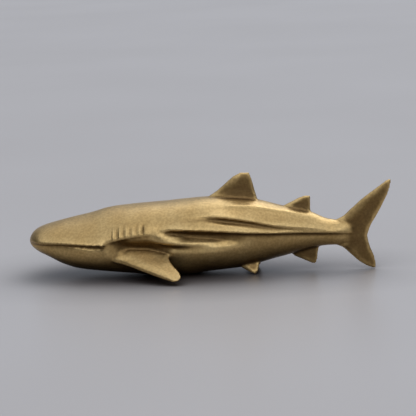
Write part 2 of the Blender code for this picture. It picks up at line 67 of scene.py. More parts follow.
# Fins: how far each stands out, its chord at the root and its thickness at root and tip
DORSAL_SPAN, DORSAL_CHORD, DORSAL_THICKNESS, DORSAL_EDGE = 0.0065, 0.0143, 0.0024, 0.0012
REAR_DORSAL_SPAN, REAR_DORSAL_CHORD = 0.0036, 0.0075
REAR_DORSAL_THICKNESS, REAR_DORSAL_EDGE = 0.0016, 0.0009
ANAL_SPAN, ANAL_CHORD, ANAL_THICKNESS, ANAL_EDGE = 0.0048, 0.0079, 0.0017, 0.0010
PELVIC_SPAN, PELVIC_CHORD, PELVIC_THICKNESS, PELVIC_EDGE = 0.0029, 0.0055, 0.0015, 0.0010
PECTORAL_SPAN, PECTORAL_CHORD = 0.0093, 0.0146
PECTORAL_THICKNESS, PECTORAL_EDGE = 0.0019, 0.0015
FIN_ROOT_DEPTH = 0.0034     # how far a fin runs on inside the trunk
LARGE_FILLET, SMALL_FILLET = 0.0007, 0.0005    # how far the foot of a fin swells into the trunk
REAR_FILLET_SHARE = 0.3     # the same behind the fin, as a share of the fillet
FILLET_HEIGHT = 0.0026      # how far up the fin the swelling reaches
MOST_SWELLING_SHARE = 2.4   # how many fillets a buried root may swell by
ROOT_SHARES = (1.0, 0.6, 0.15)    # sections at the root, as shares of its depth under the skin

# Tail fin
TAIL_UPPER_HEIGHT = 0.0143  # fork to upper tip
TAIL_UPPER_REACH = 0.0069   # how far the upper tip lies behind the fork
TAIL_LOWER_REACH = 0.0022   # and the lower one
TAIL_LOWER_CLEARANCE = 0.0001    # height of the lower tip over the floor
TAIL_FORK_DROP = 0.0008     # how far the fork lies below the trunk's own axis
TAIL_ROOT_THICKNESS, TAIL_TIP_THICKNESS = 0.0034, 0.0011
TAIL_EDGE_SHARE, FIN_EDGE_SHARE = 0.5, 0.45    # thickness near the rear edge, as a share of the greatest
THICKEST_SHARE = 0.35       # share of the chord at which a fin is thickest

# How a fin closes at its tip: the powers its outline and thickness fall by and the least left of each
TIP_CHORD_POWER, TIP_CHORD_SHARE = 16, 0.8
TIP_THICKNESS_POWER, TIP_THICKNESS_SHARE = 6, 0.5
TAIL_TIP_POWER, TAIL_TIP_SHARE = 8, 0.2

# Where each fin's root starts and where the first gill slit lies, as a share of the body length
DORSAL_START_SHARE = 0.531
REAR_DORSAL_START_SHARE = 0.757
ANAL_START_SHARE = 0.772
PELVIC_START_SHARE = 0.626
PECTORAL_START_SHARE = 0.270
TAIL_START_SHARE = 0.91
GILL_START_SHARE = 0.2785

# Degrees round the section of the trunk
BACK_DEGREES, WAIST_DEGREES, BELLY_DEGREES = 0.0, 90.0, 180.0

# Outlines of the trunk. Heights are shares of BODY_HEIGHT, half widths of half BODY_WIDTH
BACK = [(0, 0.65), (0.043, 0.678), (0.107, 0.75), (0.193, 0.836), (0.236, 0.889), (0.279, 0.915),
        (0.408, 0.955), (0.56, 1.0), (0.65, 0.97), (0.751, 0.862), (0.837, 0.767), (0.891, 0.669),
        (0.93, 0.65), (0.98, 0.66)]
BELLY = [(0, 0.345), (0.043, 0.300), (0.107, 0.160), (0.15, 0.10), (0.236, 0.055), (0.322, 0.018),
         (0.39, -0.012), (0.47, -0.012), (0.536, 0.025), (0.63, 0.065), (0.751, 0.195), (0.891, 0.324),
         (0.93, 0.325), (0.98, 0.32)]
HALF_WIDTH = [(0, 0.44), (0.043, 0.63), (0.107, 0.81), (0.193, 0.94), (0.279, 1.0), (0.386, 0.983),
              (0.536, 0.907), (0.644, 0.754), (0.751, 0.534), (0.837, 0.347), (0.891, 0.246),
              (0.93, 0.18), (0.98, 0.06)]
WAIST = [(0, 0.47), (0.107, 0.478), (0.20, 0.475), (0.26, 0.505), (0.322, 0.552), (0.408, 0.571),
         (0.536, 0.571), (0.644, 0.562), (0.751, 0.548), (0.891, 0.514), (0.98, 0.486)]
# Power of the section's curve: 2 is an ellipse, less is peaked and more is square
ROOF_SQUARENESS = [(0, 2.0), (0.06, 1.75), (0.15, 1.6), (0.24, 1.65), (0.31, 1.8), (0.42, 1.9), (0.6, 2.0),
                   (1, 2.0)]
BOTTOM_SQUARENESS = [(0, 2.1), (0.2, 2.3), (0.45, 2.4), (0.7, 2.2), (1, 2.0)]

# Lines that run the length of the flank, in degrees round the section from the back
UPPER_LINE = [(0, 36), (0.63, 35.5), (0.78, 32), (1, 30)]
TROUGH_LINE = [(0, 55), (0.45, 52), (0.515, 55), (0.59, 60), (0.67, 66.5), (0.74, 73), (0.81, 76), (1, 78)]
KEEL_LINE = [(0, 74), (0.30, 74), (0.43, 77), (0.515, 80.5), (0.59, 84.5), (0.70, 88), (0.80, 89),
             (1, 88)]
VALLEY_LINE = [(0, 80), (0.40, 80), (0.43, 83), (0.46, 87), (0.51, 90), (0.58, 93), (0.70, 95), (1, 95)]
FOLD_LINE = [(0, 88), (0.37, 88), (0.40, 92.5), (0.42, 95), (0.46, 96.5), (0.60, 99), (1, 101)]
MOUTH_LINE = [(0, 86), (0.107, 86), (0.20, 90), (0.24, 92), (0.28, 95), (0.34, 94), (0.42, 98),
              (0.60, 102.5), (1, 104)]
HOLLOW_LINE = [(0.24, 91), (0.28, 96), (0.32, 102.5), (0.36, 105.5), (0.44, 107)]
# How wide the hollow is above its line, and below it
HOLLOW_ABOVE = [(0.24, 0.0015), (0.30, 0.0030), (0.36, 0.0042), (0.40, 0.0026)]
HOLLOW_BELOW = [(0.27, 0.0045), (0.30, 0.0028), (0.34, 0.0018)]

# Share of each feature's full height along the trunk
UPPER_GROWTH = [(0.58, 0), (0.64, 0.8), (0.70, 1), (0.77, 0.7), (0.82, 0)]
MIDDLE_GROWTH = [(0.49, 0), (0.53, 0.4), (0.57, 0.9), (0.61, 1), (0.70, 0.8), (0.80, 0.5), (0.90, 0)]
TROUGH_GROWTH = [(0.505, 0), (0.535, 0.25), (0.57, 0.8), (0.60, 1), (0.68, 0.9), (0.80, 0.5), (0.88, 0)]
KEEL_GROWTH = [(0.405, 0), (0.445, 0.6), (0.48, 0.9), (0.56, 1), (0.70, 0.8), (0.84, 0.65),
               (0.94, 0.3), (0.97, 0)]
VALLEY_GROWTH = [(0.415, 0), (0.455, 0.6), (0.49, 1), (0.56, 1), (0.61, 0.5), (0.66, 0)]
FOLD_GROWTH = [(0.39, 0), (0.42, 0.9), (0.45, 1), (0.48, 0.5), (0.51, 0.2), (0.55, 0)]
HOLLOW_GROWTH = [(0.24, 0), (0.27, 0.4), (0.31, 1), (0.36, 1), (0.40, 0.6), (0.44, 0)]
CREASE_GROWTH = [(0.37, 0), (0.42, 1), (0.50, 0.9), (0.57, 0.6), (0.62, 0)]
MOUTH_GROWTH = [(0, 0), (0.02, 0.4), (0.05, 0.9), (0.18, 1), (0.225, 0.8), (0.25, 0)]
GILL_MIDDLE_DEGREES, GILL_REACH_DEGREES = 71.5, 16.0    # degrees round the section

# Outline of each fin: leading and trailing edge as (share of span, share of chord)
DORSAL_LEAD = [(0, 0.08), (0.14, 0.16), (0.35, 0.27), (0.65, 0.43), (0.88, 0.55), (1, 0.64)]
DORSAL_TRAIL = [(0, 0.96), (0.4, 0.925), (0.8, 0.885), (1, 0.88)]
REAR_DORSAL_LEAD = [(0, -0.1), (0.3, 0.08), (0.58, 0.35), (0.88, 0.62), (1, 0.79)]
REAR_DORSAL_TRAIL = [(0, 0.96), (0.5, 1.0), (1, 1.04)]
ANAL_LEAD = [(0, -0.05), (0.5, 0.14), (0.73, 0.44), (1, 0.76)]
ANAL_TRAIL = [(0, 1.0), (0.47, 0.97), (0.88, 0.94), (1, 0.9)]
PELVIC_LEAD = [(0, 0), (0.5, 0.32), (0.85, 0.6), (1, 0.74)]
PELVIC_TRAIL = [(0, 0.98), (0.6, 0.95), (1, 0.88)]
PECTORAL_LEAD = [(0, -0.05), (0.12, 0.13), (0.5, 0.55), (0.93, 1.02), (1, 1.1)]
PECTORAL_TRAIL = [(0, 1.0), (0.25, 1.06), (0.75, 1.26), (0.92, 1.29), (1, 1.24)]
PECTORAL_DROOP_DEGREES, PELVIC_DROOP_DEGREES = 35.0, 62.0
PECTORAL_PITCH_DEGREES, PELVIC_PITCH_DEGREES = 3.5, 3.0    # how far the rear of the root is raised
PECTORAL_ROOT_DEGREES = 115.0       # degrees round the section where the fin leaves the trunk
PELVIC_ROOT_DEGREES = 154.0
CAUDAL_LEAD_UPPER = [(0, 0), (0.09, 0.13), (0.27, 0.27), (0.5, 0.45), (0.8, 0.735), (1, 0.93)]
CAUDAL_LEAD_LOWER = [(0, 0), (0.1, 0.15), (0.4, 0.36), (0.7, 0.57), (0.92, 0.8), (1, 0.93)]
CAUDAL_TRAIL_UPPER = [(0, 0), (0.17, 0.14), (0.35, 0.38), (0.57, 0.64), (0.82, 0.91), (1, 1)]
CAUDAL_TRAIL_LOWER = [(0, 0), (0.15, 0.1), (0.39, 0.36), (0.67, 0.82), (0.93, 1.0), (1, 0.9)]

# Fine mesh
RING_STEP = 0.00035
SNOUT_RING_COUNT = 22
HALF_RING_COUNT = 110
FIN_STATION_COUNT = 30
CHORD_PLACE_COUNT = 25
CHORD_SHARES = 0.5 - 0.5 * np.cos(np.linspace(0, math.pi, CHORD_PLACE_COUNT))
TAIL_LOWER_COUNT, TAIL_MIDDLE_COUNT, TAIL_UPPER_COUNT = 36, 12, 48
WELD_DISTANCE = 1e-7        # points closer than this are one
VOXEL = 0.00031
SMOOTHING_ROUNDS = 5
SMOOTHING_STEPS = (0.55, -0.57)    # towards the neighbours' mean, and back so that nothing shrinks
FINE_PAST_CORNER = 0.02     # how far past the mouth's corner the mesh stays fine, as a share of length
FINE_BESIDE_MOUTH = 0.001   # and how far above and below the mouth's line
SLIVER = 1e-6               # added to lengths that are divided by

# Carving too fine for the solid: slits and rims of the gills, the mouth's crease and corner
SLIT_WIDTH, SLIT_DEPTH, LAST_SLIT_DEPTH = 0.00030, 0.00003, 0.00008
RIM_WIDTH, RIM_HEIGHT, RIM_SHIFT = 0.00045, 0.00014, -0.0009
RIM_SHARES = (1.0, 1.0, 0.5, 0.3, 0.4)    # of that height, slit by slit
CREASE_LINE_WIDTH, CREASE_LINE_DEPTH = 0.00032, 0.00035
CORNER_SHARE, CORNER_RADIUS, CORNER_HEIGHT = 0.233, 0.0009, 0.0002
SWELL_HEIGHT, SWELL_SIZE = 0.00004, 0.0035
GRAIN_HEIGHT, GRAIN_SIZE = 0.000012, 0.0007

# Painted shading on the gold: 0 for a painted highlight on a crest, 0.5 on the plain skin and 1 for the
# darkest painted shade
PLAIN_TONE = 0.5
# Painted shade in hollows and painted highlight on crests: rounds of smoothing, and the depth under the
# smoothed skin that adds 1
HOLLOW_SCALES = ((12, 0.0006), (60, 0.0014))
# Painted shade on the underside, where the skin faces down: how much, and how far up the skin looks where it
# starts and where it is full
BELLY_SHADE, BELLY_FROM, BELLY_TO = 0.40, -0.15, -0.80
# Painted shade on the upright sides of the fins: the same
FIN_SIDE_SHADE, FIN_FROM, FIN_TO = 0.50, 0.80, 0.45
FIN_FOOT, FIN_RISE = 0.0004, 0.0009    # how far out of the trunk it starts, and from there to full
# The fins' painted shade on the root of the tail: where it starts, and how fast it grows from there
TAIL_SHADE_SHARE, TAIL_SHADE_SLOPE = 0.925, 0.35

# Camera, from the photograph
FRAME_PIXELS = 416          # width and height of the picture
FOCAL_PIXELS = 1724.0
ORIGIN_PIXEL = (210.96, 271.35)    # where the model's origin is seen, from the upper left corner
AZIMUTH_DEGREES, ELEVATION_DEGREES, ROLL_DEGREES = 6.0, 12.0, 2.4
DISTANCE = 0.477
SENSOR_WIDTH = 36.0         # millimetres

# Floor and light
FLOOR_SIZE, FLOOR_CELLS = 8.0, 8
# Soft lights: direction, degrees from it where the light ends and where it is full, strength
SOFT_LIGHTS = [((0.14, -0.12, 1.0), 68, 52, 1.0), ((0.05, -1.0, 0.60), 38, 14, 0.78),
               ((0.30, 0.60, 1.0), 30, 16, 1.8), ((0.0, 1.0, 0.12), 60, 20, 0.4)]
ROOM_STRENGTH = 0.03

# Gold paint by its painted shading: its own colour on the plain skin, lighter as painted highlight and
# darker as painted shade
GOLD_LIT_AND_SHADED = [(0.2, (0.60, 0.42, 0.18)), (0.5, (0.47, 0.317, 0.128)), (0.8, (0.20, 0.125, 0.045)),
              (1.0, (0.17, 0.102, 0.037))]
PATCH_TONES = [(0.3, (0.92, 0.88, 0.81)), (0.7, (1.0, 1.0, 1.0))]
SPECKLE_TONES = [(0.38, (0.80, 0.79, 0.78)), (0.62, (1.0, 1.0, 1.0))]
GOLD_METALLIC = 0.9
GOLD_ROUGHNESS = (0.32, 0.42)
GRAIN_STRENGTH, GRAIN_DEPTH = 0.4, 0.00006
FLOOR_TONES = [(0.35, (0.38, 0.35, 0.325)), (0.65, (0.40, 0.37, 0.345))]
FLOOR_ROUGHNESS = 0.35
# Noise in the paint and the floor: cycles per metre, and detail
PATCH_NOISE, SPECKLE_NOISE = (160.0, 3.0), (1500.0, 3.0)
SHEEN_NOISE, GRAIN_NOISE, FLOOR_NOISE = (420.0, 4.0), (2600.0, 2.0), (6.0, 2.0)
# The floor's contact shadow: how near, how finely sampled, how steep and in what colour
CONTACT_DISTANCE, CONTACT_SAMPLES, CONTACT_POWER = 0.030, 16, 2.0
CONTACT_COLOUR = (0.035, 0.024, 0.02)
WORLD_COLOUR = (0.92, 0.98, 1.10, 1.0)
MIX_FIRST, MIX_SECOND, MIX_RESULT = 6, 7, 2    # sockets of a mix node that mixes colours

TOTAL_LENGTH = BODY_LENGTH + TAIL_UPPER_REACH
SNOUT_X = -TOTAL_LENGTH / 2
FORK_X = SNOUT_X + BODY_LENGTH


def curve(points, places):
    """The smooth curve through the points, read at the places. It never overshoots a point."""
    xs, ys = np.array(points, float).T
    steps, slopes = np.diff(xs), np.diff(ys) / np.diff(xs)
    tangents = np.zeros(len(xs))
    tangents[0], tangents[-1] = slopes[0], slopes[-1]
    for i in range(1, len(xs) - 1):
        before, after = slopes[i - 1], slopes[i]
        if before * after > 0:
            tangents[i] = 2 * before * after / (before + after)
    places = np.clip(places, xs[0], xs[-1])
    cell = np.clip(np.searchsorted(xs, places, side="right") - 1, 0, len(steps) - 1)
    step = steps[cell]
    part = (places - xs[cell]) / step
    start = (1 + 2 * part) * (1 - part) ** 2 * ys[cell] + part * (1 - part) ** 2 * step * tangents[cell]
    end = part**2 * (3 - 2 * part) * ys[cell + 1] - part**2 * (1 - part) * step * tangents[cell + 1]
    return start + end


def hump(distance, above, below):
    """1 on a line and 0 at its widths above (negative distance) and below it."""
    width = np.where(distance < 0, above, below)
    return np.clip(1 - (distance / width) ** 2, 0, None) ** 2


def shelf(distance, above, below):
    """1 on a line: a slope that rises to the line from above and drops away steeply below it."""
    slope = np.clip(1 + distance / above, 0, 1) ** RIDGE_SLOPE_POWER
    drop = np.clip(1 - distance / below, 0, 1) ** 2
    return np.where(distance < 0, slope, drop)


def snout_share(share):
    """How far the section has opened from the tip of the snout, from 0 to 1."""
    along = np.clip(share * BODY_LENGTH / SNOUT_ROUNDING, 0, 1)
    return np.sqrt(1 - (1 - along) ** SNOUT_POWER)


def outline(share):
    """Heights of the trunk's waist, back and belly, and its half width."""
    opened = snout_share(share)
    tip = WAIST[0][1] * BODY_HEIGHT
    waist = tip + opened * (curve(WAIST, share) * BODY_HEIGHT - tip)
    back = tip + opened * (curve(BACK, share) * BODY_HEIGHT - tip)
    belly = tip + opened * (curve(BELLY, share) * BODY_HEIGHT - tip)
    return waist, back, belly, opened * curve(HALF_WIDTH, share) * BODY_WIDTH / 2


def trunk_point(share, angle):
    """Half width, height and mean radius of the plain trunk. The angle runs from back to belly."""
    waist, back, belly, half_width = outline(share)
    upper = angle < math.pi / 2
    squareness = np.where(upper, curve(ROOF_SQUARENESS, share), curve(BOTTOM_SQUARENESS, share))
    reach = np.where(upper, back - waist, waist - belly)
    across = half_width * np.abs(np.sin(angle)) ** (2 / squareness)
    height = waist + reach * np.sign(np.cos(angle)) * np.abs(np.cos(angle)) ** (2 / squareness)
    return across, height, (half_width + reach) / 2


def relief(share, angle, radius):
    """Height of the carving over the plain trunk."""
    def strip(profile, line, growth, above, below, shift=0.0):
        distance = (angle - np.radians(curve(line, share))) * radius - shift
        return curve(growth, share) * profile(distance, above, below)

    ridges = UPPER_HEIGHT * strip(shelf, UPPER_LINE, UPPER_GROWTH, UPPER_ABOVE, UPPER_BELOW)
    ridges += MIDDLE_HEIGHT * strip(shelf, TROUGH_LINE, MIDDLE_GROWTH, MIDDLE_ABOVE, MIDDLE_BELOW)
    ridges += KEEL_HEIGHT * strip(shelf, KEEL_LINE, KEEL_GROWTH, KEEL_ABOVE, KEEL_BELOW)
    ridges += FOLD_HEIGHT * strip(hump, FOLD_LINE, FOLD_GROWTH, FOLD_ABOVE, FOLD_BELOW)
    ridges += LIP_HEIGHT * strip(shelf, MOUTH_LINE, MOUTH_GROWTH, LIP_ABOVE, LIP_BELOW)
    cuts = TROUGH_DEPTH * strip(hump, TROUGH_LINE, TROUGH_GROWTH, TROUGH_ABOVE, TROUGH_BELOW, TROUGH_ABOVE)
    cuts += VALLEY_DEPTH * strip(hump, VALLEY_LINE, VALLEY_GROWTH, VALLEY_ABOVE, VALLEY_BELOW)
    cuts += HOLLOW_DEPTH * strip(hump, HOLLOW_LINE, HOLLOW_GROWTH, curve(HOLLOW_ABOVE, share),
                                 curve(HOLLOW_BELOW, share))
    cuts += CREASE_DEPTH * strip(hump, MOUTH_LINE, CREASE_GROWTH, CREASE_ABOVE, CREASE_BELOW)
    cuts += MOUTH_DEPTH * strip(hump, MOUTH_LINE, MOUTH_GROWTH, MOUTH_LIP, MOUTH_CHIN, MOUTH_LIP)
    cuts += JAW_SETBACK * strip(hump, MOUTH_LINE, MOUTH_GROWTH, MOUTH_LIP, JAW_HEIGHT)
    return ridges - cuts - gill_depth(share, angle)


def gill_window(angle):
    """1 at the middle of the gill slits and 0 past their ends."""
    return hump(np.degrees(angle) - GILL_MIDDLE_DEGREES, GILL_REACH_DEGREES, GILL_REACH_DEGREES)


def gill_depth(share, angle):
    """Depth of the gill slits, the last one deepest."""
    depth = np.zeros_like(angle)
    for number in range(GILL_COUNT):
        deepest = LAST_GILL_DEPTH if number == GILL_COUNT - 1 else GILL_DEPTH
        distance = (share - GILL_START_SHARE) * BODY_LENGTH - number * GILL_PITCH
        depth += deepest * hump(distance, GILL_WIDTH / 2, GILL_WIDTH / 2)
    return depth * gill_window(angle)


def outward(points):
    """Unit normals of a half trunk given as rings of points."""
    along, round_ring = np.gradient(points, axis=0), np.gradient(points, axis=1)
    normals = np.cross(along, round_ring)
    normals[:, 0, 1] = normals[:, -1, 1] = 0
    normals[0] = (-1, 0, 0)
    lengths = np.linalg.norm(normals, axis=2, keepdims=True)
    return normals / np.where(lengths > 0, lengths, 1)


def skin_rings():
    """Fine rings of points round the whole trunk. The first ring is the tip of the snout."""
    snout_to = SNOUT_ROUNDING / BODY_LENGTH
    count = math.ceil((BACK[-1][0] - snout_to) * BODY_LENGTH / RING_STEP)
    turns = np.linspace(0, math.pi / 2, SNOUT_RING_COUNT)
    behind = np.linspace(snout_to, BACK[-1][0], count + 1)[1:]
    shares = np.concatenate([snout_to * (1 - np.cos(turns)), behind])
    share, angles = np.meshgrid(shares, np.linspace(0, math.pi, HALF_RING_COUNT + 1), indexing="ij")
    across, height, radius = trunk_point(share, angles)
    points = np.stack([SNOUT_X + share * BODY_LENGTH, across, height], axis=2)
    points += outward(points) * relief(share, angles, radius)[..., None]
    points[:, 0, 1] = points[:, -1, 1] = 0
    points[..., 2] = np.maximum(points[..., 2], 0)
    far_side = points[:, -2:0:-1] * (1, -1, 1)
    return np.concatenate([points, far_side], axis=1)


def loft(name, rings):
    """A closed mesh over rings of equally many points."""
    count, size = len(rings), len(rings[0])
    faces = [tuple(range(size)), tuple(range((count - 1) * size, count * size))[::-1]]
    for ring in range(count - 1):
        for i in range(size):
            j = (i + 1) % size
            first, second = ring * size, (ring + 1) * size
            faces.append((first + i, second + i, second + j, first + j))
    return closed_mesh(name, np.concatenate(rings), faces)


def closed_mesh(name, points, faces):
    """A mesh whose doubled points are welded and whose faces all look outwards."""
    mesh = bpy.data.meshes.new(name)
    mesh.from_pydata([tuple(point) for point in points], [], faces)
    shape = bmesh.new()
    shape.from_mesh(mesh)
    bmesh.ops.remove_doubles(shape, verts=shape.verts, dist=WELD_DISTANCE)
    bmesh.ops.recalc_face_normals(shape, faces=shape.faces)
    shape.to_mesh(mesh)
    shape.free()
    return mesh


def trunk_mesh():
    """The trunk's closed skin: a fan at the snout, bands of quads and a cap at the tail."""
    rings = skin_rings()
    size = rings.shape[1]
    points = np.concatenate([rings[0, :1], rings[1:].reshape(-1, 3)])
    last = 1 + (len(rings) - 2) * size
    faces = [tuple(range(last, last + size))]
    faces += [(0, 1 + i, 1 + (i + 1) % size) for i in range(size)]
    for ring in range(len(rings) - 2):
        first, second = 1 + ring * size, 1 + (ring + 1) * size
        for i in range(size):
            j = (i + 1) % size
            faces.append((first + i, first + j, second + j, second + i))
    return closed_mesh("trunk", points, faces)


def fin_section(front, rear, thickness, edge_share):
    """(place along the chord, offset from the fin's middle) round one section of a fin."""
    nose = np.sqrt(np.clip(1 - (1 - CHORD_SHARES / THICKEST_SHARE) ** 2, 0, None))
    taper = 1 - (1 - edge_share) * (CHORD_SHARES - THICKEST_SHARE) / (1 - THICKEST_SHARE)
    half = thickness / 2 * np.where(CHORD_SHARES < THICKEST_SHARE, nose, taper)
    half[-1] = 0
    chord = front + (rear - front) * CHORD_SHARES
    near = list(zip(chord, half, strict=True))
    far = [(place, -offset) for place, offset in near[-2:0:-1]]
    return near + far


def make_fin(name, root, span_axis, side_axis, span, chord, thickness, edge, lead, trail, fillet, pitch=0.0):
    """A fin lofted from inside the trunk to its rounded tip. Its chords run back, rising by the pitch."""
    root, span_axis, side_axis = np.array(root), np.array(span_axis), np.array(side_axis)
    chord_axis = np.array((math.cos(math.radians(pitch)), 0, math.sin(math.radians(pitch))))
    turns = np.linspace(0, math.pi / 2, FIN_STATION_COUNT)[1:]
    heights = np.concatenate([-FIN_ROOT_DEPTH * np.array(ROOT_SHARES), span * np.sin(turns)])
    rings = []
    for height in heights:
        share = max(height, 0) / span
        front, rear = chord * curve(lead, share), chord * curve(trail, share)
        foot = fillet * min(max(1 - height / FILLET_HEIGHT, 0) ** 2, MOST_SWELLING_SHARE)
        middle, half_chord = (front + rear) / 2, (rear - front) / 2
        half_chord *= math.sqrt(max(1 - share**TIP_CHORD_POWER, TIP_CHORD_SHARE**2))
        front, rear = middle - half_chord - foot, middle + half_chord + foot * REAR_FILLET_SHARE
        thick = thickness + (edge - thickness) * share
        thick *= math.sqrt(max(1 - share**TIP_THICKNESS_POWER, TIP_THICKNESS_SHARE**2))
        thick += foot
        section = fin_section(front, rear, thick, FIN_EDGE_SHARE)
        rings.append(np.array([root + height * span_axis + offset * side_axis + place * chord_axis
                               for place, offset in section]))
    return loft(name, rings)


def trunk_place(start, degrees):
    """The point of the plain trunk at a share of its length and an angle round it."""
    across, height, _ = trunk_point(np.array(start), np.radians(degrees))
    return SNOUT_X + start * BODY_LENGTH, float(across), float(height)


def middle_fins():
    """The two fins on the back and the one under the tail."""
    x, _, z = trunk_place(DORSAL_START_SHARE, BACK_DEGREES)
    fins = [make_fin("dorsal", (x, 0, z), (0, 0, 1), (0, 1, 0), DORSAL_SPAN, DORSAL_CHORD,
                     DORSAL_THICKNESS, DORSAL_EDGE, DORSAL_LEAD, DORSAL_TRAIL, LARGE_FILLET)]
    x, _, _ = trunk_place(REAR_DORSAL_START_SHARE, BACK_DEGREES)
    _, _, z = trunk_place(REAR_DORSAL_START_SHARE + REAR_DORSAL_CHORD / BODY_LENGTH / 2, BACK_DEGREES)
    fins.append(make_fin("rear_dorsal", (x, 0, z), (0, 0, 1), (0, 1, 0), REAR_DORSAL_SPAN,
                         REAR_DORSAL_CHORD, REAR_DORSAL_THICKNESS, REAR_DORSAL_EDGE,
                         REAR_DORSAL_LEAD, REAR_DORSAL_TRAIL, SMALL_FILLET))
    x, _, _ = trunk_place(ANAL_START_SHARE, BELLY_DEGREES)
    _, _, z = trunk_place(ANAL_START_SHARE + ANAL_CHORD / BODY_LENGTH, BELLY_DEGREES)
    fins.append(make_fin("anal", (x, 0, z), (0, 0, -1), (0, 1, 0), ANAL_SPAN, ANAL_CHORD,
                         ANAL_THICKNESS, ANAL_EDGE, ANAL_LEAD, ANAL_TRAIL, SMALL_FILLET))
    return fins


def make_pair(name, start, root, droop, pitch, span, chord, thickness, edge, lead, trail):
    """A fin on each side of the trunk. It leaves at the angle root and slopes down by droop degrees."""
    x = SNOUT_X + start * BODY_LENGTH
    _, y, z = trunk_place(start + chord / BODY_LENGTH / 2, root)
    z -= chord / 2 * math.sin(math.radians(pitch))
    across, down = math.cos(math.radians(droop)), math.sin(math.radians(droop))
    return [make_fin(name, (x, side * y, z), (0, side * across, -down), (0, side * down, across),
                     span, chord, thickness, edge, lead, trail, SMALL_FILLET, pitch) for side in (-1, 1)]


def side_fins():
    """The pectoral fins behind the gills and the pelvic fins under the belly."""
    pectorals = make_pair("pectoral", PECTORAL_START_SHARE, PECTORAL_ROOT_DEGREES, PECTORAL_DROOP_DEGREES,
                          PECTORAL_PITCH_DEGREES, PECTORAL_SPAN, PECTORAL_CHORD, PECTORAL_THICKNESS,
                          PECTORAL_EDGE, PECTORAL_LEAD, PECTORAL_TRAIL)
    pelvics = make_pair("pelvic", PELVIC_START_SHARE, PELVIC_ROOT_DEGREES, PELVIC_DROOP_DEGREES,
                        PELVIC_PITCH_DEGREES, PELVIC_SPAN, PELVIC_CHORD, PELVIC_THICKNESS,
                        PELVIC_EDGE, PELVIC_LEAD, PELVIC_TRAIL)
    return pectorals + pelvics


def tail_fin():
    """The crescent of the tail, lofted from its lower tip to its upper tip."""
    root_x, _, root_top = trunk_place(TAIL_START_SHARE, BACK_DEGREES)
    _, _, root_bottom = trunk_place(TAIL_START_SHARE, BELLY_DEGREES)
    _, _, axis = trunk_place(1.0, WAIST_DEGREES)
    low, high, fork = TAIL_LOWER_CLEARANCE, axis + TAIL_UPPER_HEIGHT, axis - TAIL_FORK_DROP
    rings = []
    for height in tail_heights(low, root_bottom, root_top, high):
        up, down = max(height - fork, 0) / (high - fork), max(fork - height, 0) / (fork - low)
        rear = FORK_X + TAIL_UPPER_REACH * curve(CAUDAL_TRAIL_UPPER, up)
        rear += TAIL_LOWER_REACH * curve(CAUDAL_TRAIL_LOWER, down)
        upper_tip, lower_tip = FORK_X + TAIL_UPPER_REACH, FORK_X + TAIL_LOWER_REACH
        if height > root_top:
            swept = curve(CAUDAL_LEAD_UPPER, (height - root_top) / (high - root_top))
            front = root_x + (upper_tip - root_x) * swept
        elif height < root_bottom:
            swept = curve(CAUDAL_LEAD_LOWER, (root_bottom - height) / (root_bottom - low))
            front = root_x + (lower_tip - root_x) * swept
        else:
            front = root_x
        spread = 1 - max(up, down)
        thickness = TAIL_TIP_THICKNESS + (TAIL_ROOT_THICKNESS - TAIL_TIP_THICKNESS) * spread**2
        thickness *= math.sqrt(max(1 - max(up, down) ** TAIL_TIP_POWER, TAIL_TIP_SHARE**2))
        rings.append(np.array([(place, offset, height) for place, offset in
                               fin_section(float(front), float(rear), thickness, TAIL_EDGE_SHARE)]))
    return loft("caudal", rings)


def tail_heights(low, root_bottom, root_top, high):
    """Heights of the tail fin's sections, closer together towards both tips."""
    quarter = math.pi / 2
    below = root_bottom - (root_bottom - low) * np.sin(np.linspace(quarter, 0, TAIL_LOWER_COUNT))
    middle = np.linspace(root_bottom, root_top, TAIL_MIDDLE_COUNT)[1:-1]
    above = root_top + (high - root_top) * np.sin(np.linspace(0, quarter, TAIL_UPPER_COUNT))
    return np.concatenate([below, middle, above])


def fused(meshes):
    """One even mesh over all the closed meshes, with what lies inside them gone."""
    together = bmesh.new()
    for mesh in meshes:
        together.from_mesh(mesh)
    mesh = bpy.data.meshes.new("rough_skin")
    together.to_mesh(mesh)
    together.free()
    thing = bpy.data.objects.new("rough_skin", mesh)
    bpy.context.scene.collection.objects.link(thing)
    remesh = thing.modifiers.new("voxels", "REMESH")
    remesh.mode = "VOXEL"
    remesh.voxel_size = VOXEL
    depsgraph = bpy.context.evaluated_depsgraph_get()
    result = bpy.data.meshes.new_from_object(thing.evaluated_get(depsgraph))
    bpy.data.objects.remove(thing)
    return result


def vertex_array(mesh):
    """Places of all the points of a mesh."""
    flat = np.empty(len(mesh.vertices) * 3)
    mesh.vertices.foreach_get("co", flat)
    return flat.reshape(-1, 3)


def normals_array(mesh):
    """Normals of all the points of a mesh."""
    flat = np.empty(len(mesh.vertices) * 3)
    mesh.vertices.foreach_get("normal", flat)
    return flat.reshape(-1, 3)


def edge_array(mesh):
    """Numbers of the two points of each edge."""
    flat = np.empty(len(mesh.edges) * 2, dtype=np.int64)
    mesh.edges.foreach_get("vertices", flat)
    return flat.reshape(-1, 2)


def neighbours_mean(values, edges, counts):
    """Mean of the values at the points that share an edge with each point."""
    total = np.zeros_like(values)
    for column in range(values.shape[1]):
        total[:, column] = (
            np.bincount(edges[:, 0], values[edges[:, 1], column], len(values))
            + np.bincount(edges[:, 1], values[edges[:, 0], column], len(values))
        )
    return total / counts[:, None]


def smooth(mesh, rounds):
    """Takes the steps of the voxels away, with a step back out each round so that nothing shrinks."""
    points, edges = vertex_array(mesh), edge_array(mesh)
    counts = np.bincount(edges.ravel(), minlength=len(points))
    for _ in range(rounds):
        for factor in SMOOTHING_STEPS:
            points += factor * (neighbours_mean(points, edges, counts) - points)
    mesh.vertices.foreach_set("co", points.ravel())
    mesh.update()


